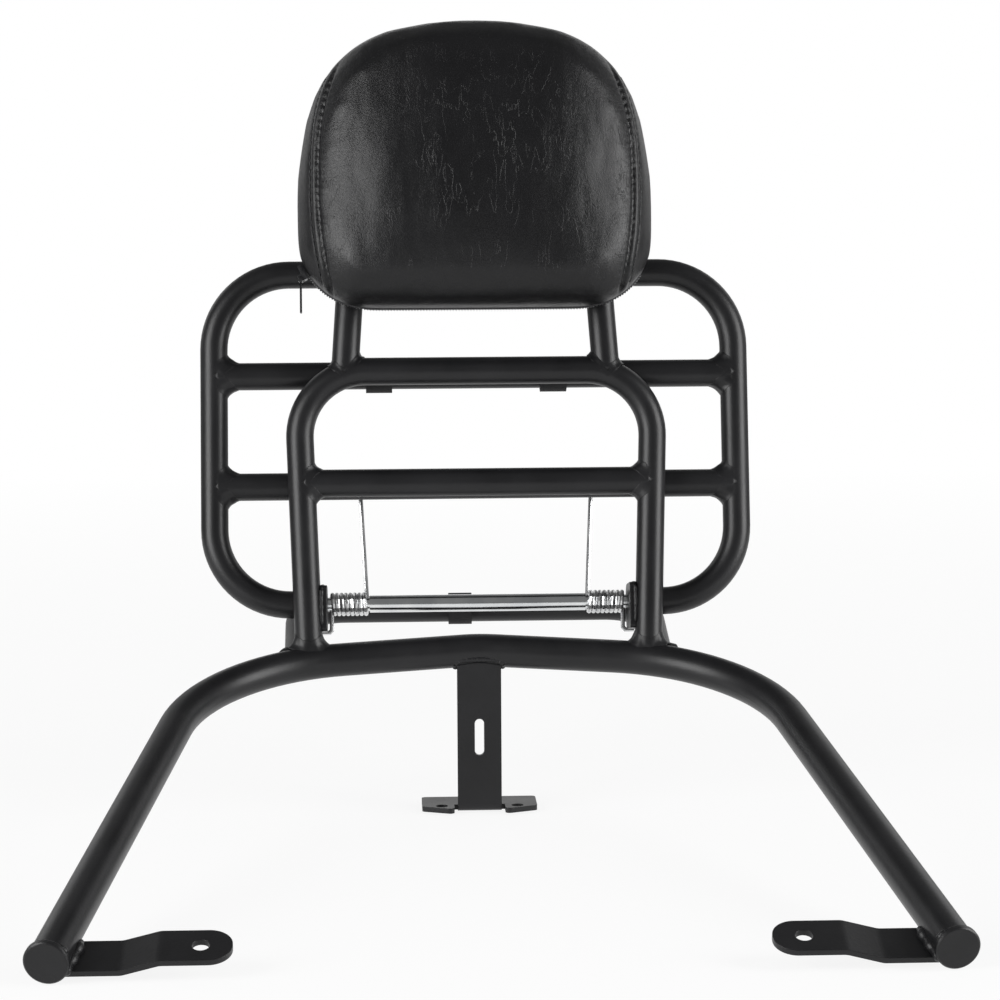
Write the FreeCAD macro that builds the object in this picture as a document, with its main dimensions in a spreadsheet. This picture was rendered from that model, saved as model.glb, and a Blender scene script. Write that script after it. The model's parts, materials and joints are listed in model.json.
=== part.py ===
import FreeCAD, Part
import Sketcher
import math
import os

# Scooter rear rack with a padded backrest and a sprung carrier that folds down behind it.
# Frame: origin under the centre foot, +X to the viewer's right, +Y to the scooter's rear, +Z up.
# All lengths in millimetres, all angles in degrees.

doc = FreeCAD.newDocument("rear_rack")
V = FreeCAD.Vector
X_AXIS = V(1, 0, 0)
Y_AXIS = V(0, 1, 0)
Z_AXIS = V(0, 0, 1)
# two places nearer than this are the same
SAME = 1e-6

SIZES = [
    # tubes
    ("main_od", 19.0),
    ("frame_od", 16.0),
    ("frame_wall", 1.5),
    # main tube, in its own tilted plane
    ("rear_height", 94.0),
    ("main_tilt", 13.5),
    ("end_half_span", 212.0),
    ("main_depth", 358.0),
    ("shoulder_half", 155.7),
    ("shoulder_depth", 23.8),
    ("shoulder_bend", 109.0),
    ("point_bend", 60.0),
    # end caps
    ("cap_od", 22.0),
    ("cap_thickness", 3.0),
    ("cap_edge", 0.8),
    # mounting tabs
    ("tab_width", 24.0),
    ("tab_thickness", 3.0),
    ("tab_reach", 85.2),
    ("tab_drop", 5.0),
    ("tab_step", 5.2),
    ("tab_step_start", 33.0),
    ("tab_step_end", 51.0),
    ("tab_tilt", 6.5),
    ("tab_bend", 10.0),
    ("tab_hole", 8.5),
    ("tab_hole_edge", 15.0),
    ("tab_tip_round", 11.5),
    # centre bracket
    ("strap_width", 25.5),
    ("strap_thickness", 3.0),
    ("strap_set", 1.2),
    ("strap_bend", 4.0),
    ("slot_width", 5.4),
    ("slot_length", 21.5),
    ("slot_height", 44.0),
    ("foot_half", 33.5),
    ("foot_back", 19.0),
    ("foot_front", 6.0),
    ("foot_taper", 8.0),
    ("foot_relief", 2.0),
    ("foot_round", 2.5),
    ("foot_hole", 7.0),
    ("foot_hole_half", 22.0),
    ("foot_hole_back", 24.5),
    # backrest hoop
    ("hoop_lean", 12.0),
    ("hoop_foot_half", 97.5),
    ("hoop_top_half", 103.6),
    ("hoop_height", 168.0),
    ("hoop_bend", 38.0),
    ("hoop_bar_height", 103.0),
    ("post_inset", 27.6),
    ("post_lean", 3.9),
    ("post_top", 318.0),
    # hinge
    ("rod_height", 34.0),
    ("rod_diameter", 8.0),
    ("rod_fit", 0.05),
    ("rod_edge", 0.8),
    ("rod_engage", 13.0),
    ("lug_thickness", 4.0),
    ("lug_below", 16.5),
    ("lug_above", 10.0),
    ("lug_front", 3.0),
    ("lug_nose", 9.0),
    ("lug_flat", 0.5),
    ("lug_corner", 2.0),
    ("lug_bite", 0.6),
    ("spacer_od", 10.0),
    ("spacer_gap", 0.15),
    ("side_gap", 0.3),
    ("bush_flange", 1.2),
    ("bush_floor", 3.0),
    ("bush_fit", 0.02),
    # torsion springs
    ("wire_diameter", 2.4),
    ("coil_od", 13.7),
    ("coil_turns", 8.0),
    ("coil_pitch", 2.6),
    ("coil_gap", 2.2),
    ("leg_seat", 0.15),
    ("leg_tip", 6.0),
    ("leg_splay", 4.0),
    ("coil_chords", 16.0),
    ("hook_bend", 1.5),
    ("hook_reach", 6.5),
    # carrier
    ("carrier_half", 152.6),
    ("carrier_rise", 60.0),
    ("carrier_bend", 44.0),
    ("fold_angle", 75.0),
    ("buffer_wall", 2.2),
    ("buffer_length", 15.3),
    ("left_buffer_centre", 56.2),
    ("right_buffer_centre", 46.0),
    ("rest_gap", 0.3),
    # fixed support behind the hinge
    ("support_foot_half", 104.0),
    ("support_rear_half", 106.0),
    ("support_bend", 27.0),
    ("support_sleeve_wall", 1.5),
    ("support_sleeve_length", 14.0),
    ("support_sleeve_centre", 8.5),
    # backrest pad
    ("pad_bottom", 200.5),
    ("pad_waist_height", 65.4),
    ("pad_shoulder_height", 154.5),
    ("pad_crown_height", 172.1),
    ("pad_bottom_half", 103.0),
    ("pad_waist_half", 103.5),
    ("pad_shoulder_half", 90.0),
    ("pad_bottom_bend", 42.0),
    ("pad_waist_bend", 160.0),
    ("pad_shoulder_bend", 65.0),
    ("pad_crown_bend", 211.0),
    ("pad_rim", 20.0),
    ("pad_depth", 46.0),
    ("pad_draw_in", 5.0),
    ("pad_edge", 11.0),
    ("pad_gap", 0.3),
    ("board_thickness", 8.0),
    ("board_inset", 12.0),
    ("plate_thickness", 2.5),
    ("plate_half", 84.0),
    ("plate_low", 236.0),
    ("plate_high", 312.0),
    ("plate_corner", 8.0),
    ("screw_diameter", 5.0),
    ("screw_fit", 0.1),
    ("screw_head", 9.5),
    ("screw_head_height", 2.6),
    ("screw_length", 9.0),
    ("screw_half", 45.0),
    ("screw_edge", 16.0),
    # zip on the cover's rear edge
    ("zip_angle", 27.0),
    ("zip_from_back", 8.0),
    ("slider_width", 6.0),
    ("slider_length", 9.0),
    ("slider_height", 3.0),
    ("slider_ear", 1.2),
    ("pull_pin", 1.4),
    ("pull_fit", 0.1),
    ("pull_length", 20.0),
    ("pull_eye", 1.4),
    ("pull_eye_round", 1.2),
    ("pull_thickness", 1.2),
    ("pull_edge", 0.4),
    ("ear_length", 4.0),
]

sheet = doc.addObject("Spreadsheet::Sheet", "dims")
for row, (alias, number) in enumerate(SIZES, start=1):
    sheet.set("A%d" % row, alias)
    sheet.set("B%d" % row, str(number))
    sheet.setAlias("B%d" % row, alias)
doc.recompute()


class Sizes:
    """The sheet's numbers, by their alias."""

    def __getattr__(self, alias):
        return float(sheet.get(alias))


d = Sizes()
NODES = []


def node(obj, name):
    """Marks an object as a finished piece under its own name."""
    obj.Label = name
    NODES.append(obj)
    return obj


def value(expression):
    return float(sheet.evalExpression(expression))


def turned(axis, angle, base=V(0, 0, 0)):
    return FreeCAD.Placement(base, FreeCAD.Rotation(axis, angle))


def at(x, y, z):
    return FreeCAD.Placement(V(x, y, z), FreeCAD.Rotation())


def facing(base, direction):
    """A placement whose Z runs along the given direction."""
    return FreeCAD.Placement(base, FreeCAD.Rotation(Z_AXIS, direction))


# Sketch of straight runs joined by tangent arcs. Corners are pairs of expressions, radii are expressions.
def draw_route(sketch, corners, radii, closed=False):
    points = [V(value(cx), value(cy), 0) for cx, cy in corners]
    count = len(points)
    bends = list(range(count)) if closed else list(range(1, count - 1))
    before = {}
    after = {}
    mid = {}
    for k, i in enumerate(bends):
        to_last = (points[i - 1] - points[i]).normalize()
        to_next = (points[(i + 1) % count] - points[i]).normalize()
        turn = math.pi - to_last.getAngle(to_next)
        radius = value(radii[k])
        tangent = radius * math.tan(turn / 2)
        before[i] = points[i] + to_last * tangent
        after[i] = points[i] + to_next * tangent
        halfway = (to_last + to_next).normalize()
        mid[i] = points[i] + halfway * (radius / math.cos(turn / 2) - radius)
    runs = count if closed else count - 1
    lines = []
    for i in range(runs):
        j = (i + 1) % count
        start = after.get(i, points[i])
        finish = before.get(j, points[j])
        lines.append(sketch.addGeometry(Part.LineSegment(start, finish), False))
    for k, i in enumerate(bends):
        arc = sketch.addGeometry(Part.Arc(before[i], mid[i], after[i]), False)
        corner = sketch.addGeometry(Part.Point(points[i]), True)
        line_in = lines[i - 1]
        line_out = lines[i]
        first = 1 if (sketch.getPoint(arc, 1) - before[i]).Length < SAME else 2
        sketch.addConstraint(Sketcher.Constraint("Tangent", line_in, 2, arc, first))
        sketch.addConstraint(Sketcher.Constraint("Tangent", line_out, 1, arc, 3 - first))
        sketch.addConstraint(Sketcher.Constraint("PointOnObject", corner, 1, line_in))
        sketch.addConstraint(Sketcher.Constraint("PointOnObject", corner, 1, line_out))
        bind(sketch, Sketcher.Constraint("Radius", arc, value(radii[k])), radii[k])
        pin_point(sketch, corner, 1, corners[i])
    if not closed:
        pin_point(sketch, lines[0], 1, corners[0])
        pin_point(sketch, lines[-1], 2, corners[-1])
    return sketch


def bind(sketch, constraint, expression):
    index = sketch.addConstraint(constraint)
    sketch.setExpression("Constraints[%d]" % index, expression)


def pin_point(sketch, geometry, end, corner):
    for kind, expression in zip(("DistanceX", "DistanceY"), corner):
        bind(sketch, Sketcher.Constraint(kind, -1, 1, geometry, end, value(expression)), expression)


def draw_polygon(sketch, corners):
    """Straight edges through corners given as pairs of expressions."""
    points = [V(value(cx), value(cy), 0) for cx, cy in corners]
    count = len(points)
    for i, point in enumerate(points):
        sketch.addGeometry(Part.LineSegment(point, points[(i + 1) % count]), False)
    for i in range(count):
        sketch.addConstraint(Sketcher.Constraint("Coincident", (i - 1) % count, 2, i, 1))
        pin_point(sketch, i, 1, corners[i])


def route(name, corners, radii, placement):
    sketch = doc.addObject("Sketcher::SketchObject", name)
    draw_route(sketch, corners, radii)
    sketch.Placement = placement
    return sketch


def draw_circle(sketch, centre, diameter):
    spot = V(value(centre[0]), value(centre[1]), 0)
    ring = sketch.addGeometry(Part.Circle(spot, Z_AXIS, value(diameter) / 2), False)
    pin_point(sketch, ring, 3, centre)
    bind(sketch, Sketcher.Constraint("Diameter", ring, value(diameter)), diameter)


def section(name, diameter, placement):
    sketch = doc.addObject("Sketcher::SketchObject", name)
    draw_circle(sketch, ("0", "0"), diameter)
    sketch.Placement = placement
    return sketch


def swept(name, path, diameter):
    """A solid round bar along a route."""
    doc.recompute()
    ends = [path.Placement.multVec(p) for p in (path.getPoint(0, 1), path.getPoint(0, 2))]
    ring = section(name + "_section", diameter, facing(ends[0], ends[1] - ends[0]))
    bar = doc.addObject("Part::Sweep", name)
    bar.Sections = [ring]
    bar.Spine = (path, ["Edge%d" % (i + 1) for i in range(len(path.Shape.Edges))])
    bar.Solid = True
    bar.Frenet = False
    return bar


def cut(name, base, *tools):
    """Base less each tool in turn."""
    for number, tool in enumerate(tools):
        result = doc.addObject("Part::Cut", name if number == len(tools) - 1 else "%s_%d" % (name, number))
        result.Base = base
        result.Tool = tool
        base = result
    return base


def cylinder(name, diameter, length, placement):
    bar = doc.addObject("Part::Cylinder", name)
    bar.setExpression("Radius", "(%s) / 2" % diameter)
    bar.setExpression("Height", length)
    bar.Placement = placement
    return bar


def ring(name, outside, inside, length, placement):
    outer = cylinder(name + "_outside", outside, length, placement)
    bore = cylinder(name + "_bore", inside, length, placement)
    return cut(name, outer, bore)


def origin_plane(body, role):
    return [plane for plane in body.Origin.OriginFeatures if plane.Role == role][0]


def body_sketch(body, name, role="XY_Plane"):
    sketch = body.newObject("Sketcher::SketchObject", name)
    sketch.AttachmentSupport = [(origin_plane(body, role), "")]
    sketch.MapMode = "FlatFace"
    return sketch


def padded(body, name, sketch, length, midplane=False):
    pad = body.newObject("PartDesign::Pad", name)
    pad.Profile = sketch
    pad.setExpression("Length", length)
    pad.Midplane = midplane
    return pad


def rounded(body, name, edges, radius):
    """A fillet over numbered edges of the body's latest feature."""
    base = body.Tip
    fillet = body.newObject("PartDesign::Fillet", name)
    fillet.Base = (base, ["Edge%d" % i for i in edges])
    fillet.setExpression("Radius", radius)
    doc.recompute()
    return fillet


def pocketed(body, name, sketch):
    pocket = body.newObject("PartDesign::Pocket", name)
    pocket.Profile = sketch
    pocket.Type = "ThroughAll"
    pocket.Midplane = True
    return pocket


FRAME_IN = "dims.frame_od - 2 * dims.frame_wall"

# Main tube: a wide U in a plane that rises to the rear, with a slight point at the rear centre.
main_frame = turned(X_AXIS, d.main_tilt, V(0, 0, d.rear_height))
main_path = route(
    "main_path",
    [
        ("-dims.end_half_span", "-dims.main_depth"),
        ("-dims.shoulder_half", "-dims.shoulder_depth"),
        ("0", "0"),
        ("dims.shoulder_half", "-dims.shoulder_depth"),
        ("dims.end_half_span", "-dims.main_depth"),
    ],
    ["dims.shoulder_bend", "dims.point_bend", "dims.shoulder_bend"],
    main_frame,
)
main_tube = node(swept("main", main_path, "dims.main_od"), "main_tube")


def main_axis_y(half):
    """How far the main tube's axis lies ahead of its rear point, in its plane."""
    return -d.shoulder_depth * half / d.shoulder_half


SIDES = (("left", -1), ("right", 1))

# End caps: flat discs on the tube ends, a little wider than the tube.
for side, sign in SIDES:
    end = V(sign * d.end_half_span, -d.main_depth, 0)
    shoulder = V(sign * d.shoulder_half, -d.shoulder_depth, 0)
    disc = cylinder(side + "_cap_disc", "dims.cap_od", "dims.cap_thickness",
                    main_frame * facing(end, end - shoulder))
    doc.recompute()
    outward = disc.Placement.multVec(V(0, 0, d.cap_thickness))
    rims = [i for i, e in enumerate(disc.Shape.Edges, 1)
            if e.Closed and (e.Curve.Center - outward).Length < SAME]
    cap = doc.addObject("Part::Chamfer", side + "_cap")
    cap.Base = disc
    cap.Edges = [(i, d.cap_edge, d.cap_edge) for i in rims]
    node(cap, side + "_end_cap")

# Mounting tabs: flat bar set up by two bends, with a round tip and a bolt hole, coped to the tube.
# Each is drawn in side view, from the tube's axis inwards, and mirrored by a half turn of its frame.
for side, sign in SIDES:
    body = doc.addObject("PartDesign::Body", side + "_tab_body")
    inward = "1" if sign < 0 else "-1"
    profile = body_sketch(body, side + "_tab_profile", "XZ_Plane")
    low = "-dims.tab_drop"
    high = "-dims.tab_drop + dims.tab_step"
    thick = "dims.tab_thickness"
    rise = "(%s * (sqrt(dims.tab_step ^ 2 + (dims.tab_step_end - dims.tab_step_start) ^ 2)" % thick
    rise += " - (dims.tab_step_end - dims.tab_step_start)) / dims.tab_step)"
    corners = [
        ("0", low),
        ("dims.tab_step_start", low),
        ("dims.tab_step_end", high),
        ("dims.tab_reach", high),
        ("dims.tab_reach", "%s - %s" % (high, thick)),
        ("dims.tab_step_end + %s" % rise, "%s - %s" % (high, thick)),
        ("dims.tab_step_start + %s" % rise, "%s - %s" % (low, thick)),
        ("0", "%s - %s" % (low, thick)),
    ]
    draw_polygon(profile, [("%s * (%s)" % (inward, cx), cy) for cx, cy in corners])
    padded(body, side + "_tab_pad", profile, "dims.tab_width", midplane=True)
    hole = body_sketch(body, side + "_tab_hole_sketch")
    draw_circle(hole, ("%s * (dims.tab_reach - dims.tab_hole_edge)" % inward, "0"), "dims.tab_hole")
    pocketed(body, side + "_tab_hole", hole)
    doc.recompute()
    tips = []
    for i, e in enumerate(body.Tip.Shape.Edges, 1):
        box = e.BoundBox
        if abs(abs(box.Center.x) - d.tab_reach) < SAME and box.ZLength > d.tab_thickness - SAME:
            tips.append(i)
    tip = rounded(body, side + "_tab_tip", tips, "dims.tab_tip_round")
    bends = []
    for i, e in enumerate(tip.Shape.Edges, 1):
        box = e.BoundBox
        inside = SAME < abs(box.Center.x) < d.tab_reach - d.tab_tip_round - SAME
        if inside and box.YLength > d.tab_width - SAME and box.XLength < SAME:
            bends.append(i)
    rounded(body, side + "_tab_bend", bends, "dims.tab_bend")
    spot = V(sign * d.end_half_span, -d.main_depth + d.tab_width / 2, 0)
    body.Placement = main_frame * turned(X_AXIS, d.tab_tilt, spot)
    tab = cut(side + "_tab", body, main_tube)
    node(tab, side + "_mount_tab")

# Centre bracket: a hanging strap with a slot, turned back at the bottom into a foot with two ears.
bracket = doc.addObject("PartDesign::Body", "bracket_body")
side_view = body_sketch(bracket, "strap_side", "YZ_Plane")
front = "-(dims.main_od / 2 - dims.strap_set)"
back = "%s + dims.strap_thickness" % front
draw_polygon(
    side_view,
    [
        (front, "dims.rear_height"),
        (front, "0"),
        ("dims.foot_back", "0"),
        ("dims.foot_back", "dims.strap_thickness"),
        (back, "dims.strap_thickness"),
        (back, "dims.rear_height"),
    ],
)
padded(bracket, "strap_pad", side_view, "dims.strap_width", midplane=True)
doc.recompute()
for label, corner, size in (
    ("outer", (value(front), 0.0), "dims.strap_bend"),
    ("inner", (value(back), d.strap_thickness), "dims.strap_bend - dims.strap_thickness"),
):
    bends = []
    for i, e in enumerate(bracket.Tip.Shape.Edges, 1):
        box = e.BoundBox
        near = abs(box.Center.y - corner[0]) < SAME and abs(box.Center.z - corner[1]) < SAME
        if near and box.XLength > d.strap_width - SAME:
            bends.append(i)
    rounded(bracket, "strap_%s_bend" % label, bends, size)
for side, sign in SIDES:
    s = "" if sign > 0 else "-"
    ear = body_sketch(bracket, side + "_ear_sketch")
    inner = "%s(dims.strap_width / 2 + dims.foot_relief)" % s
    outer = "%sdims.foot_half" % s
    root = "%s(dims.strap_width / 2 - dims.foot_relief)" % s
    notch = "%s + dims.strap_bend + dims.foot_relief" % front
    draw_polygon(
        ear,
        [
            (root, notch),
            (inner, notch),
            (inner, "%s - dims.foot_front" % front),
            (outer, "%s - dims.foot_front + dims.foot_taper" % front),
            (outer, "dims.foot_back"),
            (root, "dims.foot_back"),
        ],
    )
    padded(bracket, side + "_ear", ear, "dims.strap_thickness")
doc.recompute()
rounds = []
for i, e in enumerate(bracket.Tip.Shape.Edges, 1):
    box = e.BoundBox
    upright = box.XLength < SAME and box.YLength < SAME and abs(box.ZLength - d.strap_thickness) < SAME
    far = abs(abs(box.Center.x) - d.foot_half) < SAME
    tip = abs(abs(box.Center.x) - d.strap_width / 2 - d.foot_relief) < SAME and box.Center.y < value(front)
    if upright and (far or tip):
        rounds.append(i)
rounded(bracket, "ear_round", rounds, "dims.foot_round")
foot_holes = body_sketch(bracket, "foot_holes_sketch")
for s in ("", "-"):
    spot = (s + "dims.foot_hole_half", "dims.foot_back - dims.foot_hole_back")
    draw_circle(foot_holes, spot, "dims.foot_hole")
pocketed(bracket, "foot_holes", foot_holes)
slot = body_sketch(bracket, "slot_sketch", "XZ_Plane")
reach = "(dims.slot_length - dims.slot_width) / 2"
slot_half = "dims.slot_width / 2"
slot_radius = d.slot_width / 2
low_z = d.slot_height - value(reach)
high_z = d.slot_height + value(reach)
left_low, left_high = V(-slot_radius, low_z, 0), V(-slot_radius, high_z, 0)
right_low, right_high = V(slot_radius, low_z, 0), V(slot_radius, high_z, 0)
slot.addGeometry(Part.LineSegment(left_low, left_high), False)
slot.addGeometry(Part.Arc(left_high, V(0, high_z + slot_radius, 0), right_high), False)
slot.addGeometry(Part.LineSegment(right_high, right_low), False)
slot.addGeometry(Part.Arc(right_low, V(0, low_z - slot_radius, 0), left_low), False)
pin_point(slot, 0, 1, ("-" + slot_half, "dims.slot_height - " + reach))
pin_point(slot, 0, 2, ("-" + slot_half, "dims.slot_height + " + reach))
pin_point(slot, 2, 1, (slot_half, "dims.slot_height + " + reach))
pin_point(slot, 2, 2, (slot_half, "dims.slot_height - " + reach))
for arc, line_a, end_a, line_b, end_b in ((1, 0, 2, 2, 1), (3, 2, 2, 0, 1)):
    begin = slot.getPoint(line_a, end_a)
    first = 1 if (slot.getPoint(arc, 1) - begin).Length < SAME else 2
    slot.addConstraint(Sketcher.Constraint("Tangent", line_a, end_a, arc, first))
    slot.addConstraint(Sketcher.Constraint("Coincident", line_b, end_b, arc, 3 - first))
pocketed(bracket, "strap_slot", slot)
node(cut("bracket", bracket, main_tube), "centre_bracket")

# Backrest hoop: an inverted U that leans back, its feet coped to the main tube.
foot_y = main_axis_y(d.hoop_foot_half)
hoop_foot = main_frame.multVec(V(0, foot_y, 0))
hoop_frame = turned(X_AXIS, 90 - d.hoop_lean, hoop_foot)
hoop_path = route(
    "hoop_path",
    [
        ("-dims.hoop_foot_half", "0"),
        ("-dims.hoop_top_half", "dims.hoop_height"),
        ("dims.hoop_top_half", "dims.hoop_height"),
        ("dims.hoop_foot_half", "0"),
    ],
    ["dims.hoop_bend", "dims.hoop_bend"],
    hoop_frame,
)
hoop_bent = swept("hoop_bent", hoop_path, "dims.frame_od")
node(cut("hoop", hoop_bent, main_tube), "backrest_hoop")


def upright_half(height):
    """Distance of an upright's axis from the middle at a height along the hoop."""
    return d.hoop_foot_half + (d.hoop_top_half - d.hoop_foot_half) * height / d.hoop_height


def straight_tube(name, start, finish, frame, tool, open_end=False):
    """A straight tube between two points of a frame, coped to another tube. Only an open end shows its bore."""
    length = "%.9f" % (finish - start).Length
    placement = frame * facing(start, finish - start)
    if open_end:
        tube = ring(name + "_tube", "dims.frame_od", FRAME_IN, length, placement)
    else:
        tube = cylinder(name + "_tube", "dims.frame_od", length, placement)
    return cut(name, tube, tool)


bar_half = upright_half(d.hoop_bar_height)
hoop_bar = straight_tube("hoop_bar", V(-bar_half, d.hoop_bar_height, 0), V(bar_half, d.hoop_bar_height, 0),
                         hoop_frame, hoop_bent)
node(hoop_bar, "hoop_crossbar")

# Posts: they stand on the hoop's shoulders and lean in towards the pad.
corner_turn = math.pi / 2 - math.atan2(d.hoop_top_half - d.hoop_foot_half, d.hoop_height)
bend_start = d.hoop_top_half - d.hoop_bend * math.tan((math.pi - corner_turn) / 2)
post_foot_half = d.hoop_top_half - d.post_inset
past = max(0.0, post_foot_half - bend_start)
post_seat = d.hoop_height - d.hoop_bend + math.sqrt(d.hoop_bend ** 2 - past ** 2)
post_top_half = post_foot_half - (d.post_top - post_seat) * math.tan(math.radians(d.post_lean))
for side, sign in SIDES:
    post = straight_tube(side + "_post", V(sign * post_foot_half, post_seat, 0),
                         V(sign * post_top_half, d.post_top, 0), hoop_frame, hoop_bent, open_end=True)
    node(post, side + "_backrest_post")

# Hinge: a rod behind the uprights, held in two lugs.
rod_offset = d.frame_od + d.buffer_wall + d.rest_gap
hinge_frame = hoop_frame * at(0, d.rod_height, -rod_offset)
lug_outer = upright_half(d.rod_height) - d.frame_od / 2 + d.lug_bite
lug_inner = lug_outer - d.lug_thickness
ROD_OFFSET = "(dims.frame_od + dims.buffer_wall + dims.rest_gap)"
for side, sign in SIDES:
    body = doc.addObject("PartDesign::Body", side + "_lug_body")
    plate = body_sketch(body, side + "_lug_sketch")
    draw_route(
        plate,
        [
            (ROD_OFFSET + " + dims.lug_front", "-dims.lug_below"),
            (ROD_OFFSET + " + dims.lug_front", "dims.lug_above"),
            ("-dims.lug_nose", "dims.lug_above"),
            ("-dims.lug_nose", "-dims.lug_below"),
        ],
        ["dims.lug_corner"] * 2 + ["dims.lug_nose - dims.lug_flat"] * 2,
        closed=True,
    )
    draw_circle(plate, ("0", "0"), "dims.rod_diameter + 2 * dims.rod_fit")
    padded(body, side + "_lug_pad", plate, "dims.lug_thickness")
    # the sketch's x runs forward and its y up along the hoop, so the plate's thickness runs to -X
    start = lug_outer if sign > 0 else -lug_inner
    body.Placement = hinge_frame * FreeCAD.Placement(V(start, 0, 0), FreeCAD.Rotation(Y_AXIS, -90))
    lug = cut(side + "_lug", body, hoop_bent)
    node(lug, side + "_hinge_lug")

bush_face = lug_outer + d.side_gap
stub_end = bush_face + d.bush_flange
rod_half = stub_end + d.rod_engage
rod = cylinder("rod_bar", "dims.rod_diameter", "%.9f" % (2 * rod_half),
               hinge_frame * facing(V(-rod_half, 0, 0), X_AXIS))
doc.recompute()
rod_ends = doc.addObject("Part::Chamfer", "rod")
rod_ends.Base = rod
rod_ends.Edges = [(i, d.rod_edge, d.rod_edge) for i, e in enumerate(rod.Shape.Edges, 1) if e.Closed]
node(rod_ends, "hinge_rod")

# Torsion springs: half turns of wire, a short leg hooked round the lug's lower rear corner
# and a long leg that goes up behind the carrier's lower crossbar and pushes it forward.
wire = d.wire_diameter
coil_radius = (d.coil_od - wire) / 2
coil_length = d.coil_turns * d.coil_pitch
coil_outer = lug_inner - d.coil_gap
coil_inner = coil_outer - coil_length
lower_bar = d.hoop_bar_height - d.rod_height
upper_bar = d.hoop_height - d.rod_height
leg_offset = d.frame_od / 2 + wire / 2 + d.leg_seat
leg_tilt = math.asin((leg_offset - coil_radius) / lower_bar)
leg_length = math.sqrt(lower_bar ** 2 - (leg_offset - coil_radius) ** 2) + d.leg_tip
nose_round = d.lug_nose - d.lug_flat
hook_clear = nose_round + wire / 2 + d.leg_seat
hook_drop = d.lug_below - nose_round + math.sqrt(hook_clear ** 2 - (coil_radius - d.lug_flat) ** 2)


def spring_route(sign):
    """The wire's line in the hinge frame, x along the rod: hook, short leg, coil, long leg."""
    begin = V(sign * coil_outer, 0, -coil_radius)
    drop = V(begin.x, -hook_drop, begin.z)
    hook = V(sign * d.hook_reach, 0, 0)
    hook_start = V(sign * d.hook_bend, 0, 0)
    line = [drop + hook, drop + hook_start, drop + V(0, d.hook_bend, 0)]
    chords = int(round(d.coil_turns * d.coil_chords))
    for step in range(chords + 1):
        angle = 2 * math.pi * step / d.coil_chords
        along = coil_outer - d.coil_pitch * step / d.coil_chords
        line.append(V(sign * along, coil_radius * math.sin(angle), -coil_radius * math.cos(angle)))
    leg = V(sign * d.leg_splay, leg_length * math.cos(leg_tilt), -leg_length * math.sin(leg_tilt))
    line.append(line[-1] + leg)
    return line


def wire_section(centre, direction):
    """An eight-sided section of the wire, flat to flat its diameter."""
    spread = wire / 2 / math.cos(math.pi / 8)
    frame = facing(centre, direction)
    spots = [V(spread * math.cos(math.pi * (k + 0.5) / 4), spread * math.sin(math.pi * (k + 0.5) / 4), 0)
             for k in range(8)]
    return Part.makePolygon([frame.multVec(spot) for spot in spots + spots[:1]])


for side, sign in SIDES:
    spring = doc.addObject("Part::Feature", side + "_coil")
    line = spring_route(sign)
    start = wire_section(line[0], line[1] - line[0])
    spring.Shape = Part.makePolygon(line).makePipeShell([start], True, False, 1)
    spring.Placement = hinge_frame
    node(spring, side + "_spring")

spacer_half = coil_inner - wire / 2 - d.side_gap
spacer = ring("spacer", "dims.spacer_od", "dims.rod_diameter + 2 * dims.spacer_gap", "%.9f" % (2 * spacer_half),
              hinge_frame * facing(V(-spacer_half, 0, 0), X_AXIS))
node(spacer, "spacer_tube")

# Carrier: one tube, folded up behind the hoop, with its lower ends turned in on the hinge line.
STUB_END = "%.9f" % stub_end
CARRIER_TOP = "dims.hoop_height - dims.rod_height + dims.carrier_rise"
carrier_path = route(
    "carrier_path",
    [
        ("-" + STUB_END, "0"),
        ("-dims.carrier_half", "0"),
        ("-dims.carrier_half", CARRIER_TOP),
        ("dims.carrier_half", CARRIER_TOP),
        ("dims.carrier_half", "0"),
        (STUB_END, "0"),
    ],
    ["dims.carrier_bend"] * 4,
    hinge_frame,
)
carrier_bent = swept("carrier_bent", carrier_path, "dims.frame_od")
plug_depth = "dims.rod_engage + dims.side_gap + dims.bush_floor"
end_bores = [cylinder(side + "_end_bore", FRAME_IN, plug_depth,
                      hinge_frame * facing(V(sign * stub_end, 0, 0), V(sign, 0, 0))) for side, sign in SIDES]
node(cut("carrier", carrier_bent, *end_bores), "carrier_frame")
for name, height in (("lower", lower_bar), ("upper", upper_bar)):
    bar = straight_tube(name + "_bar", V(-d.carrier_half, height, 0), V(d.carrier_half, height, 0),
                        hinge_frame, carrier_bent)
    node(bar, name + "_crossbar")

# Hinge bushes: blind plugs in the carrier's lower ends, with a flange that runs beside the lug.
for side, sign in SIDES:
    body = doc.addObject("PartDesign::Body", side + "_bush_body")
    half = body_sketch(body, side + "_bush_sketch", "XZ_Plane")
    bore = "dims.rod_diameter / 2 + dims.rod_fit"
    plug = "dims.frame_od / 2 - dims.frame_wall - dims.bush_fit"
    depth = "dims.bush_flange + dims.rod_engage + dims.side_gap"
    draw_polygon(
        half,
        [
            (bore, "0"),
            ("dims.frame_od / 2", "0"),
            ("dims.frame_od / 2", "dims.bush_flange"),
            (plug, "dims.bush_flange"),
            (plug, depth + " + dims.bush_floor"),
            ("0", depth + " + dims.bush_floor"),
            ("0", depth),
            (bore, depth),
        ],
    )
    turn = body.newObject("PartDesign::Revolution", side + "_bush")
    turn.Profile = half
    turn.ReferenceAxis = (half, ["V_Axis"])
    turn.Angle = 360
    body.Placement = hinge_frame * facing(V(sign * bush_face, 0, 0), V(sign, 0, 0))
    node(body, side + "_hinge_bush")

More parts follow.
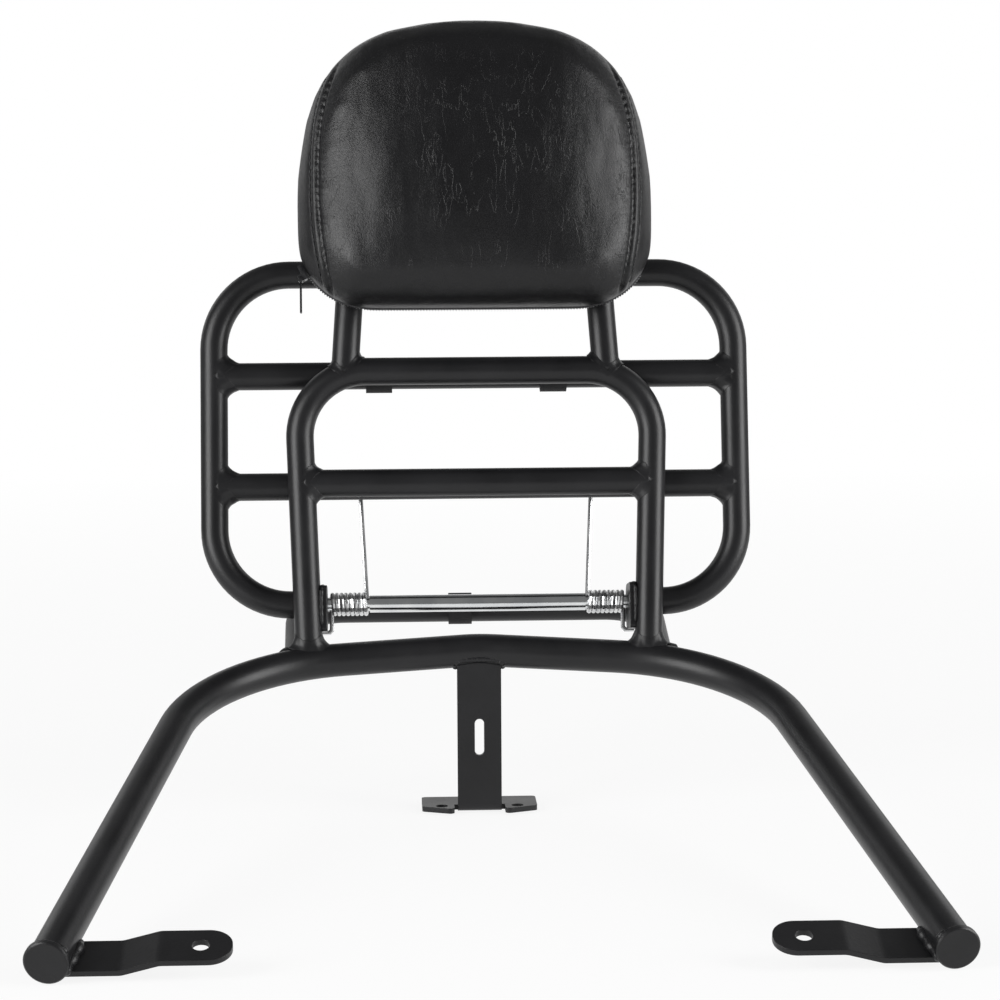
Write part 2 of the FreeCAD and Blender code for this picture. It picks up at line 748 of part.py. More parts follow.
# Rubber sleeves on the upper crossbar, which meet the hoop when the carrier is up.
for side, sign, centre in (("left", -1, d.left_buffer_centre), ("right", 1, d.right_buffer_centre)):
    start = sign * centre - d.buffer_length / 2
    sleeve = ring(side + "_sleeve", "dims.frame_od + 2 * dims.buffer_wall", "dims.frame_od",
                  "dims.buffer_length", hinge_frame * facing(V(start, upper_bar, 0), X_AXIS))
    node(sleeve, side + "_buffer")

# Fixed support: a U of tube that runs back from the main tube, under the folded carrier's lower crossbar.
hinge_point = hinge_frame.Base
folded = math.radians(d.hoop_lean + d.fold_angle)
along_carrier = V(0, math.sin(folded), math.cos(folded))
under_carrier = V(0, math.cos(folded), -math.sin(folded))
stop_drop = d.frame_od + d.support_sleeve_wall + d.rest_gap
support_bar = hinge_point + along_carrier * lower_bar + under_carrier * stop_drop
support_foot = main_frame.multVec(V(0, main_axis_y(d.support_foot_half), 0))
run_back = support_bar - support_foot
support_frame = turned(X_AXIS, math.degrees(math.atan2(run_back.z, run_back.y)), support_foot)
SUPPORT_RUN = "%.9f" % run_back.Length
support_path = route(
    "support_path",
    [
        ("-dims.support_foot_half", "0"),
        ("-dims.support_rear_half", SUPPORT_RUN),
        ("dims.support_rear_half", SUPPORT_RUN),
        ("dims.support_foot_half", "0"),
    ],
    ["dims.support_bend", "dims.support_bend"],
    support_frame,
)
support_bent = swept("support_bent", support_path, "dims.frame_od")
node(cut("support", support_bent, main_tube, hoop_bent), "carrier_support")
sleeve_start = -d.support_sleeve_centre - d.support_sleeve_length / 2
support_sleeve = ring("rear_sleeve", "dims.frame_od + 2 * dims.support_sleeve_wall", "dims.frame_od",
                      "dims.support_sleeve_length",
                      support_frame * facing(V(sleeve_start, run_back.Length, 0), X_AXIS))
node(support_sleeve, "support_sleeve")

# Pad plate: flat steel across the front of the posts, with four screw holes.
plate_frame = hoop_frame * at(0, 0, d.frame_od / 2)
SCREWS = [(s + "dims.screw_half", edge) for s in ("", "-")
          for edge in ("dims.plate_low + dims.screw_edge", "dims.plate_high - dims.screw_edge")]
plate_body = doc.addObject("PartDesign::Body", "plate_body")
plate_sketch = body_sketch(plate_body, "plate_sketch")
draw_route(
    plate_sketch,
    [
        ("-dims.plate_half", "dims.plate_low"),
        ("dims.plate_half", "dims.plate_low"),
        ("dims.plate_half", "dims.plate_high"),
        ("-dims.plate_half", "dims.plate_high"),
    ],
    ["dims.plate_corner"] * 4,
    closed=True,
)
for spot in SCREWS:
    draw_circle(plate_sketch, spot, "dims.screw_diameter + 2 * dims.screw_fit")
padded(plate_body, "plate_pad", plate_sketch, "dims.plate_thickness")
plate_body.Placement = plate_frame
node(plate_body, "pad_plate")


# Outline of the pad, drawn in by a margin: flat bottom, sides that swell to the waist, a domed top.
# The shoulder moves in a little less than the sides, and down by half as much as the crown.
def pad_outline(sketch, margin):
    bottom = "dims.pad_bottom + %s" % margin
    bottom_half = "dims.pad_bottom_half - %s" % margin
    waist = "dims.pad_bottom + dims.pad_waist_height"
    waist_half = "dims.pad_waist_half - %s" % margin
    shoulder = "dims.pad_bottom + dims.pad_shoulder_height - 0.5 * %s" % margin
    shoulder_half = "dims.pad_shoulder_half - 0.9 * %s" % margin
    crown = "dims.pad_bottom + dims.pad_crown_height - %s" % margin
    draw_route(
        sketch,
        [
            ("-(%s)" % bottom_half, bottom),
            (bottom_half, bottom),
            (waist_half, waist),
            (shoulder_half, shoulder),
            ("0", crown),
            ("-(%s)" % shoulder_half, shoulder),
            ("-(%s)" % waist_half, waist),
        ],
        ["dims.pad_bottom_bend - 0.5 * %s" % margin] * 2
        + ["dims.pad_waist_bend", "dims.pad_shoulder_bend", "dims.pad_crown_bend"]
        + ["dims.pad_shoulder_bend", "dims.pad_waist_bend"],
        closed=True,
    )
    return sketch


# Pad board: stiff panel inside the cover, screwed to the plate.
board_frame = plate_frame * at(0, 0, d.plate_thickness)
board_body = doc.addObject("PartDesign::Body", "board_body")
board_sketch = body_sketch(board_body, "board_sketch")
pad_outline(board_sketch, "dims.board_inset")
for spot in SCREWS:
    draw_circle(board_sketch, spot, "dims.screw_diameter + 2 * dims.screw_fit")
padded(board_body, "board_pad", board_sketch, "dims.board_thickness")
board_body.Placement = board_frame
node(board_body, "pad_board")

# Pad cushion: foam and cover as one soft solid, recessed at the back for the board.
cushion = doc.addObject("PartDesign::Body", "cushion_body")
rim_sketch = pad_outline(body_sketch(cushion, "rim_sketch"), "0")
padded(cushion, "rim_pad", rim_sketch, "dims.pad_rim")
levels = [("rim", "dims.pad_rim", "0"),
          ("edge", "dims.pad_depth - dims.pad_edge", "dims.pad_draw_in"),
          ("face", "dims.pad_depth", "(dims.pad_draw_in + dims.pad_edge)")]
faces = []
for name, depth, margin in levels:
    outline = pad_outline(body_sketch(cushion, "%s_outline" % name), margin)
    outline.setExpression("AttachmentOffset.Base.z", depth)
    faces.append(outline)
for lower, upper in zip(faces, faces[1:]):
    swell = cushion.newObject("PartDesign::AdditiveLoft", upper.Name + "_loft")
    swell.Profile = lower
    swell.Sections = [upper]
    swell.Ruled = True
recess_sketch = pad_outline(body_sketch(cushion, "recess_sketch"), "(dims.board_inset - dims.pad_gap)")
recess = cushion.newObject("PartDesign::Pocket", "recess")
recess.Profile = recess_sketch
recess.setExpression("Length", "dims.board_thickness + dims.pad_gap")
recess.Reversed = True
cushion.Placement = plate_frame * at(0, 0, d.plate_thickness + d.pad_gap)
node(cushion, "pad_cushion")

# Pad screws: four, from behind the plate into the board.
screw_solids = []
for spot in SCREWS:
    x, y = value(spot[0]), value(spot[1])
    head = cylinder("screw_head_%d" % len(screw_solids), "dims.screw_head", "dims.screw_head_height",
                    plate_frame * facing(V(x, y, 0), V(0, 0, -1)))
    shank = cylinder("screw_shank_%d" % len(screw_solids), "dims.screw_diameter", "dims.screw_length",
                     plate_frame * at(x, y, 0))
    screw = doc.addObject("Part::Fuse", "screw_%d" % len(screw_solids))
    screw.Base = head
    screw.Tool = shank
    screw_solids.append(screw)
screws = doc.addObject("Part::Compound", "screws")
screws.Links = screw_solids
node(screws, "pad_screws")

# Zip slider and pull on the cover's left side, near its rear edge.
bend_centre = V(d.pad_bottom_bend - d.pad_bottom_half, d.pad_bottom + d.pad_bottom_bend, 0)
into_pad = turned(Z_AXIS, d.zip_angle).multVec(X_AXIS)
zip_spot = bend_centre - into_pad * (d.pad_bottom_bend + d.pad_gap)
zip_forward = V(0, 0, d.plate_thickness + d.zip_from_back)
slider_frame = plate_frame * turned(Z_AXIS, d.zip_angle, zip_spot + zip_forward)
# in the slider's frame: x into the pad, y up along the side, z forward
plate_box = doc.addObject("Part::Box", "slider_plate")
plate_box.setExpression("Length", "dims.slider_height - dims.slider_ear")
plate_box.setExpression("Width", "dims.slider_length")
plate_box.setExpression("Height", "dims.slider_width")
plate_top = d.slider_height - d.slider_ear
plate_box.Placement = slider_frame * at(-plate_top, -d.slider_length / 2, -d.slider_width / 2)
pin_x = -plate_top - d.pull_fit - d.pull_eye
pin_y = (d.ear_length - d.slider_length) / 2
pin = cylinder("slider_pin", "dims.pull_pin", "dims.slider_width",
               slider_frame * at(pin_x, pin_y, -d.slider_width / 2))
parts = [plate_box, pin]
for number, z in enumerate((-d.slider_width / 2, d.slider_width / 2 - d.slider_ear)):
    ear_box = doc.addObject("Part::Box", "slider_ear_%d" % number)
    ear_box.Length = -pin_x + d.pull_pin
    ear_box.setExpression("Width", "dims.ear_length")
    ear_box.setExpression("Height", "dims.slider_ear")
    ear_box.Placement = slider_frame * at(pin_x - d.pull_pin, pin_y - d.ear_length / 2, z)
    parts.append(ear_box)
slider = doc.addObject("Part::MultiFuse", "slider")
slider.Shapes = parts
node(slider, "zip_slider")
pull_body = doc.addObject("PartDesign::Body", "pull_body")
pull_sketch = body_sketch(pull_body, "pull_sketch")
neck = "-(2 * dims.pull_eye - dims.pull_thickness / 2)"
right_half = [
    ("dims.pull_thickness / 2", "-dims.pull_length"),
    ("dims.pull_thickness / 2", neck),
    ("dims.pull_eye", "-dims.pull_eye"),
    ("dims.pull_eye", "dims.pull_eye"),
]
left_half = [("-" + across, along) for across, along in reversed(right_half)]
half_rounds = ["dims.pull_edge"] * 3 + ["dims.pull_eye_round"]
draw_route(pull_sketch, right_half + left_half, half_rounds + half_rounds[::-1], closed=True)
draw_circle(pull_sketch, ("0", "0"), "dims.pull_pin + 2 * dims.pull_fit")
pull_width = "dims.slider_width - 2 * dims.slider_ear - 2 * dims.pull_fit"
padded(pull_body, "pull_pad", pull_sketch, pull_width, midplane=True)
# the pull hangs straight down from its pin
down_turn = -d.zip_angle
pull_body.Placement = slider_frame * at(pin_x, pin_y, 0) * turned(Z_AXIS, down_turn)
node(pull_body, "zip_pull")

doc.recompute()
faults = [o.Name for o in doc.Objects if "Invalid" in o.State or "Error" in o.State]
if faults:
    raise RuntimeError("failed objects: %s" % ", ".join(faults))
for piece in NODES:
    if piece.Shape.isNull() or not piece.Shape.isValid():
        raise RuntimeError("bad shape: %s" % piece.Label)
os.makedirs("parts", exist_ok=True)
for piece in NODES:
    piece.Shape.exportStep("parts/%s.step" % piece.Label)
print("%d pieces" % len(NODES))
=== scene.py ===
import json
import math

import bmesh
import bpy
import numpy as np
from mathutils import Matrix, Vector, noise
from mathutils.bvhtree import BVHTree


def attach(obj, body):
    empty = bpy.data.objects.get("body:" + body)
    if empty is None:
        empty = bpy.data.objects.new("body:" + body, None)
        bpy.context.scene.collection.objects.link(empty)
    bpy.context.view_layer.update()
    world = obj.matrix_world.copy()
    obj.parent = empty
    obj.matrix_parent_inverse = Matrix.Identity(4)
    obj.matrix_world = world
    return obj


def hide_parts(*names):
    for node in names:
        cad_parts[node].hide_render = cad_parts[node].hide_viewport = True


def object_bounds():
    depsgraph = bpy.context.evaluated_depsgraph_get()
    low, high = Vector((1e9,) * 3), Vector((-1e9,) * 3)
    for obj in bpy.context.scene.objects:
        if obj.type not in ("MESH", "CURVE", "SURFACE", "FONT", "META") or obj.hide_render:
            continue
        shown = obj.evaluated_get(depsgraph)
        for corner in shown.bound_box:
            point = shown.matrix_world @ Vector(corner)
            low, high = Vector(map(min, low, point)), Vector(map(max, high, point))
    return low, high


# Scooter rear rack with a padded backrest and a folding carrier. Metres, +Y to the rear, +Z up.
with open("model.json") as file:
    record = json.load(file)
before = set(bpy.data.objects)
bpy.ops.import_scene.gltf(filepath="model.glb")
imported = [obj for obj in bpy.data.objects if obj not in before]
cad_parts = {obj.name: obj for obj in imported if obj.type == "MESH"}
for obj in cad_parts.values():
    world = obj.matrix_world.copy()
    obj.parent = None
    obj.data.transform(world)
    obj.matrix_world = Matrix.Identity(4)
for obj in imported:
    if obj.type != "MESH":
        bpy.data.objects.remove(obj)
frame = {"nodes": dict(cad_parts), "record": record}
cad_low, cad_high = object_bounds()
nodes = frame["nodes"]
scene = bpy.context.scene

MM = 0.001
SIDES = (("left", -1), ("right", 1))
X_AXIS = Vector((1.0, 0.0, 0.0))

# The hoop's leaning plane: u to the right, v up along the hoop, n forward to the rider.
LEAN = math.radians(12.0)
HOOP_FOOT = Vector((0.0, -0.014492, 0.090521))
UP = Vector((0.0, math.sin(LEAN), math.cos(LEAN)))
FORWARD = Vector((0.0, -math.cos(LEAN), math.sin(LEAN)))
HOOP_AXES = np.array([X_AXIS, UP, FORWARD])


def hoop_point(u, v, n):
    """A point given in millimetres in the hoop's plane."""
    return HOOP_FOOT + X_AXIS * (u * MM) + UP * (v * MM) + FORWARD * (n * MM)


def to_hoop(points):
    """Rows of points as u, v, n in millimetres."""
    shifted = np.asarray(points, float) - np.array(HOOP_FOOT)
    return shifted @ HOOP_AXES.T / MM


def from_hoop(rows):
    """Rows of u, v, n in millimetres as points."""
    return np.array(HOOP_FOOT) + rows @ HOOP_AXES * MM


# Materials
NOISE_LOW = 0.3
NOISE_HIGH = 0.7
BEVEL_SAMPLES = 4


class Shader:
    """A new material with its node tree and a few short ways to add to it."""

    def __init__(self, name):
        self.material = bpy.data.materials.new(name)
        self.material.use_nodes = True
        self.nodes = self.material.node_tree.nodes
        self.links = self.material.node_tree.links
        self.surface = self.nodes["Principled BSDF"]
        self.place = self.nodes.new("ShaderNodeTexCoord").outputs["Object"]

    def set(self, **values):
        for name, number in values.items():
            self.surface.inputs[name.replace("_", " ")].default_value = number

    def join(self, output, target):
        self.links.new(output, target)

    def stretched(self, scale, turn=(0.0, 0.0, 0.0)):
        mapping = self.nodes.new("ShaderNodeMapping")
        mapping.inputs["Scale"].default_value = scale
        mapping.inputs["Rotation"].default_value = turn
        self.join(self.place, mapping.inputs["Vector"])
        return mapping.outputs["Vector"]

    def noise(self, scale=1.0, detail=2.0, place=None, roughness=0.5, distortion=0.0):
        texture = self.nodes.new("ShaderNodeTexNoise")
        texture.inputs["Scale"].default_value = scale
        texture.inputs["Detail"].default_value = detail
        texture.inputs["Roughness"].default_value = roughness
        texture.inputs["Distortion"].default_value = distortion
        self.join(place or self.place, texture.inputs["Vector"])
        return texture.outputs["Fac"]

    def cells(self, scale):
        """How far a point is from the edge of its grain."""
        texture = self.nodes.new("ShaderNodeTexVoronoi")
        texture.feature = "DISTANCE_TO_EDGE"
        texture.inputs["Scale"].default_value = scale
        self.join(self.place, texture.inputs["Vector"])
        return texture.outputs["Distance"]

    def span(self, value, low, high, to_low=0.0, to_high=1.0):
        spread = self.nodes.new("ShaderNodeMapRange")
        spread.inputs["From Min"].default_value = low
        spread.inputs["From Max"].default_value = high
        spread.inputs["To Min"].default_value = to_low
        spread.inputs["To Max"].default_value = to_high
        self.join(value, spread.inputs["Value"])
        return spread.outputs["Result"]

    def math(self, operation, first, second):
        step = self.nodes.new("ShaderNodeMath")
        step.operation = operation
        for socket, value in zip(step.inputs, (first, second)):
            if isinstance(value, float):
                socket.default_value = value
            else:
                self.join(value, socket)
        return step.outputs["Value"]

    def blend(self, first, second, share):
        """A share of the first value and the rest of the second."""
        part = self.math("MULTIPLY", first, share)
        rest = self.math("MULTIPLY", second, 1.0 - share)
        return self.math("ADD", part, rest)

    def colours(self, value, dark, light, low=0.3, high=0.7):
        """The base colour, from dark to light as a value rises."""
        ramp = self.nodes.new("ShaderNodeValToRGB")
        for element, position, colour in zip(ramp.color_ramp.elements, (low, high), (dark, light)):
            element.position = position
            element.color = (*colour, 1.0)
        self.join(value, ramp.inputs["Fac"])
        self.join(ramp.outputs["Color"], self.surface.inputs["Base Color"])

    def rough(self, value, low, high):
        self.join(self.span(value, NOISE_LOW, NOISE_HIGH, low, high), self.surface.inputs["Roughness"])

    def soft_edges(self, radius):
        """Normals that turn round sharp edges as a coat of paint does."""
        edge = self.nodes.new("ShaderNodeBevel")
        edge.samples = BEVEL_SAMPLES
        edge.inputs["Radius"].default_value = radius
        return edge.outputs["Normal"]

    def bump(self, *layers, below=None):
        """Layers of height, each with its strength and depth in metres, one over the other."""
        for height, strength, depth in layers:
            bump = self.nodes.new("ShaderNodeBump")
            bump.inputs["Strength"].default_value = strength
            bump.inputs["Distance"].default_value = depth
            self.join(height, bump.inputs["Height"])
            if below is not None:
                self.join(below, bump.inputs["Normal"])
            below = bump.outputs["Normal"]
        self.join(below, self.surface.inputs["Normal"])


def powder_coat():
    """Satin black paint with a fine orange peel."""
    s = Shader("powder_coat")
    cloud = s.noise(scale=38.0, detail=3.0)
    fine = s.noise(scale=1500.0)
    orange_peel = s.noise(scale=520.0)
    s.colours(cloud, (0.0060, 0.0060, 0.0067), (0.0092, 0.0092, 0.0102), low=0.35, high=0.68)
    s.rough(s.blend(cloud, fine, 0.5), 0.32, 0.42)
    s.set(Specular_IOR_Level=0.36)
    s.bump((orange_peel, 0.16, 0.0003), (fine, 0.14, 0.00012), below=s.soft_edges(0.0008))
    return s.material


def rubber():
    """Dull black rubber."""
    s = Shader("rubber")
    cloud = s.noise(scale=90.0, detail=4.0)
    fine = s.noise(scale=1400.0, detail=3.0)
    coarse = s.noise(scale=190.0)
    s.colours(cloud, (0.010, 0.010, 0.0105), (0.021, 0.021, 0.0215), high=0.75)
    s.rough(cloud, 0.62, 0.80)
    s.set(Specular_IOR_Level=0.35)
    s.bump((fine, 0.3, 0.0002), (coarse, 0.2, 0.0003))
    return s.material


def plated(name, dark, light, low, high, streak):
    """Bright plated steel with drawing lines along one direction."""
    s = Shader(name)
    lines = s.noise(detail=3.0, place=s.stretched(streak))
    cloud = s.noise(scale=60.0, detail=3.0)
    s.colours(cloud, dark, light)
    s.rough(s.blend(lines, cloud, 0.7), low, high)
    s.set(Metallic=1.0)
    s.bump((lines, 0.12, 0.00012))
    return s.material


def leatherette():
    """Black cover with a fine grain, slack folds and patches of fine upright creases."""
    s = Shader("leatherette")
    cloud = s.noise(scale=24.0, detail=4.0)
    grain = s.span(s.cells(1250.0), 0.0, 0.26)
    pebble = s.noise(scale=760.0, detail=3.0)
    upright = s.stretched((190.0, 190.0, 46.0), turn=(0.0, 0.16, 0.0))
    streaks = s.noise(detail=3.0, place=upright, distortion=0.4)
    ridge = s.math("ABSOLUTE", s.math("SUBTRACT", streaks, 0.5), 0.0)
    creases = s.span(ridge, 0.0, 0.012)
    patch = s.span(s.noise(scale=44.0), 0.46, 0.66)
    worn = s.math("MAXIMUM", creases, s.math("SUBTRACT", 1.0, patch))
    slack = s.noise(detail=3.0, place=s.stretched((62.0, 62.0, 34.0)), distortion=0.4)
    s.colours(cloud, (0.0036, 0.0036, 0.0041), (0.0060, 0.0060, 0.0067), high=0.72)
    s.rough(s.blend(pebble, cloud, 0.6), 0.28, 0.37)
    s.set(Specular_IOR_Level=0.34)
    s.bump((slack, 0.14, 0.0012), (worn, 0.42, 0.00026), (grain, 0.32, 0.00014), (pebble, 0.32, 0.00026))
    return s.material


def plywood():
    """Raw veneer with grain along its length."""
    s = Shader("plywood")
    rings = s.noise(detail=4.0, place=s.stretched((9.0, 120.0, 160.0)), roughness=0.6, distortion=0.5)
    s.colours(rings, (0.30, 0.19, 0.10), (0.52, 0.38, 0.23))
    s.rough(rings, 0.55, 0.75)
    s.bump((rings, 0.25, 0.0003))
    return s.material


def black_nickel():
    """Black lacquered zip metal."""
    s = Shader("black_nickel")
    cloud = s.noise(scale=420.0, detail=3.0)
    s.colours(cloud, (0.030, 0.030, 0.032), (0.075, 0.075, 0.078), high=0.72)
    s.rough(cloud, 0.26, 0.40)
    s.set(Metallic=0.8)
    s.bump((s.noise(scale=1800.0), 0.15, 0.0001))
    return s.material


def moulded():
    """Dark moulded plastic."""
    s = Shader("moulded_bush")
    cloud = s.noise(scale=240.0, detail=3.0)
    s.colours(cloud, (0.014, 0.014, 0.014), (0.026, 0.026, 0.027), high=0.72)
    s.rough(cloud, 0.42, 0.58)
    s.bump((s.noise(scale=1300.0), 0.2, 0.00015))
    return s.material


def thread():
    """Twisted black sewing thread, with a painted sheen: lighter streaks of colour along the twist."""
    s = Shader("thread")
    twist_and_sheen = s.noise(place=s.stretched((900.0, 900.0, 2600.0), turn=(0.6, 0.3, 0.0)))
    # Painted sheen: the twist pattern lightens the black base colour in streaks, standing in for light on the
    # plies; it also drives roughness and bump
    s.colours(twist_and_sheen, (0.010, 0.010, 0.011), (0.028, 0.028, 0.030))
    s.rough(twist_and_sheen, 0.5, 0.7)
    s.bump((twist_and_sheen, 0.4, 0.0002))
    return s.material


COAT = powder_coat()
ZINC = plated("zinc_plate", (0.60, 0.62, 0.64), (0.80, 0.81, 0.81), 0.10, 0.24, (14.0, 900.0, 900.0))
WIRE = plated("drawn_wire", (0.58, 0.59, 0.60), (0.78, 0.78, 0.78), 0.21, 0.34, (500.0, 500.0, 60.0))
LEATHER = leatherette()
NICKEL = black_nickel()
THREAD = thread()
SLOT_LOOKS = {
    "black_coat": COAT,
    "black_rubber": rubber(),
    "zinc": ZINC,
    "spring_steel": WIRE,
    "bush_plastic": moulded(),
    "plywood": plywood(),
    "leatherette": LEATHER,
    "zip_metal": NICKEL,
}


def wear(obj, look):
    obj.data.materials.clear()
    obj.data.materials.append(look)


for part in frame["record"]["subparts"]:
    wear(nodes[part["node"]], SLOT_LOOKS[part["material_slot"]])


# Meshes
def smoothed(mesh):
    for face in mesh.polygons:
        face.use_smooth = True


def placed(name, mesh, look, body, crease=None):
    """A new piece with its look, riding a body of the frame, with sharp edges from an angle up."""
    obj = bpy.data.objects.new(name, mesh)
    scene.collection.objects.link(obj)
    wear(obj, look)
    smoothed(mesh)
    if crease is not None:
        mesh.set_sharp_from_angle(angle=crease)
    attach(obj, body)
    return obj


def finished(bm, name):
    """The mesh of what was built, which is then let go."""
    mesh = bpy.data.meshes.new(name)
    bm.to_mesh(mesh)
    bm.free()
    return mesh


def banded(bm, rows):
    """Joins each row of points to the next by a band of faces that closes round."""
    for row, following in zip(rows, rows[1:]):
        for k in range(len(row)):
            j = (k + 1) % len(row)
            bm.faces.new((row[k], row[j], following[j], following[k]))


def settled(mesh, name, *modifiers):
    """The mesh after a row of modifiers, each a type and its settings."""
    obj = bpy.data.objects.new(name, mesh)
    scene.collection.objects.link(obj)
    for kind, settings in modifiers:
        modifier = obj.modifiers.new(kind, kind)
        for key, value in settings.items():
            setattr(modifier, key, value)
    graph = bpy.context.evaluated_depsgraph_get()
    result = bpy.data.meshes.new_from_object(obj.evaluated_get(graph))
    bpy.data.objects.remove(obj)
    result.name = name
    return result


def merged(name, *names):
    """One mesh of copies of the named nodes."""
    bm = bmesh.new()
    for node in names:
        bm.from_mesh(nodes[node].data)
    bmesh.ops.remove_doubles(bm, verts=bm.verts, dist=1e-6)
    return finished(bm, name)


def point_rows(mesh, key):
    rows = np.empty(len(mesh.vertices) * 3)
    mesh.vertices.foreach_get(key, rows)
    return rows.reshape(-1, 3)


def corners(mesh):
    return point_rows(mesh, "co")


def directions(mesh):
    return point_rows(mesh, "normal")


def put_corners(mesh, spots):
    mesh.vertices.foreach_set("co", np.asarray(spots, float).ravel())
    mesh.update()


def evened(mesh, values, rounds):
    """Values at the mesh's points, each averaged with its neighbours some times over."""
    ends = np.empty(len(mesh.edges) * 2, int)
    mesh.edges.foreach_get("vertices", ends)
    first, second = ends.reshape(-1, 2).T
    count = np.bincount(ends, minlength=len(values))[:, None]
    for _ in range(rounds):
        around = np.zeros_like(values)
        np.add.at(around, first, values[second])
        np.add.at(around, second, values[first])
        values = 0.5 * values + 0.5 * around / count
    return values


def bell(distance, half):
    return np.exp(-((distance / half) ** 2))


def faded(distance, length):
    return np.clip(distance / length, 0.0, 1.0)


# Backrest pad: a cover blown up over its foam, crowned, sewn at two seams and slightly creased
PAD_VOXEL = 0.0046
PAD_SMOOTHING = 6
PAD_START = 0.99
PAD_CENTRE = np.array((0.0, 284.0))
PAD_PINNED = 15.0
PAD_FRAMES = 20
PAD_CAP = 0.014
PAD_EVENING = 40
PAD_SIDEWAYS = 0.3
CLOTH = {
    "quality": 6,
    "mass": 0.2,
    "tension_stiffness": 20.0,
    "compression_stiffness": 20.0,
    "shear_stiffness": 8.0,
    "bending_stiffness": 1.0,
    "use_pressure": True,
    "uniform_pressure_force": 4.0,
    "vertex_group_mass": "held",
}


def blown_up(mesh):
    """The pad's mesh after the cloth run, no point further than the cap from where it began."""
    start = corners(mesh)
    obj = bpy.data.objects.new("pad_run", mesh)
    scene.collection.objects.link(obj)
    held = obj.vertex_groups.new(name="held")
    back = np.nonzero(to_hoop(start)[:, 2] < PAD_PINNED)[0]
    held.add(back.tolist(), 1.0, "REPLACE")
    cloth = obj.modifiers.new("cloth", "CLOTH")
    for key, value in CLOTH.items():
        setattr(cloth.settings, key, value)
    cloth.settings.effector_weights.gravity = 0.0
    cloth.collision_settings.use_collision = False
    cloth.point_cache.frame_start = 1
    cloth.point_cache.frame_end = PAD_FRAMES
    for step in range(1, PAD_FRAMES + 1):
        scene.frame_set(step)
    graph = bpy.context.evaluated_depsgraph_get()
    swollen = bpy.data.meshes.new_from_object(obj.evaluated_get(graph))
    moved = evened(mesh, corners(swollen) - start, PAD_EVENING)
    sideways = moved - np.outer(moved @ np.array(FORWARD), np.array(FORWARD))
    moved -= sideways * (1.0 - PAD_SIDEWAYS)
    reach = np.linalg.norm(moved, axis=1, keepdims=True)
    moved *= PAD_CAP * np.tanh(reach / PAD_CAP) / np.maximum(reach, 1e-9)
    scene.frame_set(1)
    bpy.data.objects.remove(obj)
    put_corners(swollen, start + moved)
    return swollen


PAD_REAR = 12.0
PAD_ROUND = 0.24
PAD_ROUND_HALF = 90.0
PAD_ROUND_POWER = 4.0
PAD_SHOULDER_WIDER = 0.016
PAD_SHOULDER_AT = 292.0
PAD_SHOULDER_SPAN = 26.0


def crowned(mesh):
    """Draws the front back towards its sides and fills the shoulders out a little."""
    u, v, n = to_hoop(corners(mesh)).T
    share = np.abs(u) / PAD_ROUND_HALF
    depth = np.maximum(n - PAD_REAR, 0.0)
    n = n - depth * PAD_ROUND * share ** PAD_ROUND_POWER
    u = u * (1.0 + PAD_SHOULDER_WIDER * bell(v - PAD_SHOULDER_AT, PAD_SHOULDER_SPAN))
    put_corners(mesh, from_hoop(np.stack([u, v, n], axis=1)))
    return mesh


RIM_ROUNDS = 12
RIM_DEPTH = 26.0
RIM_FADE = 10.0
RIM_LOW = 232.0
RIM_RISE = 24.0


def rim_rounded(mesh):
    """Rounds the cover's rear rim over the upper part of the pad."""
    spots = corners(mesh)
    v, n = to_hoop(spots).T[1:]
    share = faded(RIM_DEPTH - n, RIM_FADE) * faded(v - RIM_LOW, RIM_RISE)
    put_corners(mesh, spots + (evened(mesh, spots, RIM_ROUNDS) - spots) * share[:, None])
    return mesh


SEAM_HALF = 90.2
SEAM_LEVEL = 268.0
SEAM_BELOW = 0.00216
SEAM_ABOVE = 5.0e-5
SEAM_POWER = 2.9


def seam_half(v):
    """Half the front panel's width at a height along the hoop."""
    rise = np.asarray(v, float) - SEAM_LEVEL
    above = SEAM_ABOVE * np.maximum(rise, 0.0) ** SEAM_POWER
    below = SEAM_BELOW * np.minimum(rise, 0.0) ** 2
    return SEAM_HALF - above - below


STITCH_PITCH = 4.2
TOPSTITCH = 4.1
SEAM_FRONT = 24.0
SEAM_FADE = 8.0
SEAM_TOP = 346.0
SEAM_TOP_FADE = 16.0
GROOVE_DEPTH = 1.25
GROOVE_HALF = 0.95
GROOVE_PUCKER = 0.3
EDGE_LIFT = 0.75
EDGE_FROM = 0.9
EDGE_RISE = 0.25
EDGE_TO = 3.6
EDGE_FALL = 0.35
STITCH_SINK = 0.5
STITCH_SINK_HALF = 0.6
PULL_DEPTH = 0.14
PULL_HALF = 4.0


def sewn(mesh):
    """Draws the seams in and raises the turned edge beside them."""
    spots = corners(mesh)
    u, v, n = to_hoop(spots).T
    off = np.abs(u) - seam_half(v)
    front = faded(n - SEAM_FRONT, SEAM_FADE) * faded(SEAM_TOP - v, SEAM_TOP_FADE)
    wave = np.sin(2 * np.pi * v / STITCH_PITCH)
    groove = GROOVE_DEPTH * bell(off, GROOVE_HALF) * (1.0 + GROOVE_PUCKER * wave)
    edge = EDGE_LIFT / (1 + np.exp((EDGE_FROM - off) / EDGE_RISE)) / (1 + np.exp((off - EDGE_TO) / EDGE_FALL))
    sunk = STITCH_SINK * bell(off - TOPSTITCH, STITCH_SINK_HALF)
    pull = PULL_DEPTH * bell(off, PULL_HALF) * wave * (off < 0)
    lift = (edge - groove - sunk + pull) * front * MM
    put_corners(mesh, spots + directions(mesh) * lift[:, None])
    return mesh


FOLD_FRONT = 30.0
FOLD_FADE = 15.0
FOLD_SIZE = (21.0, 55.0, 30.0)
FOLD_DEPTH = 0.45
FOLD_FALLOFF = 0.9
FOLD_FINER = 2.1
FOLD_LAYERS = 3


